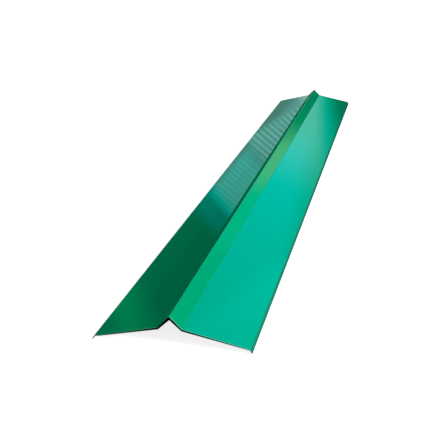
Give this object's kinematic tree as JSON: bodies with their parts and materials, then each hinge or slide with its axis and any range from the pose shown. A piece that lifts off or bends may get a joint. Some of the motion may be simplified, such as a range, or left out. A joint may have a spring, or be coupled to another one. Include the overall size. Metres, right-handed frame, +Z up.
{
  "type": "roof ridge cap",
  "caption": "Long folded sheet-metal ridge cap with a raised crown, two sloping flanges and down-turned drip lips, green coated.",
  "frame": {"origin": "middle of the rectangle of floor under the cap, which stands on its two lips", "axes": "+X across the cap, +Y along the ridge line, +Z up"},
  "size_m": [0.2722, 2, 0.0544],
  "materials": {
    "green_coat": "semi-gloss green coil coating"
  },
  "bodies": {
    "root": {"ridge_cap_sheet": "green_coat"}
  },
  "joints": []
}
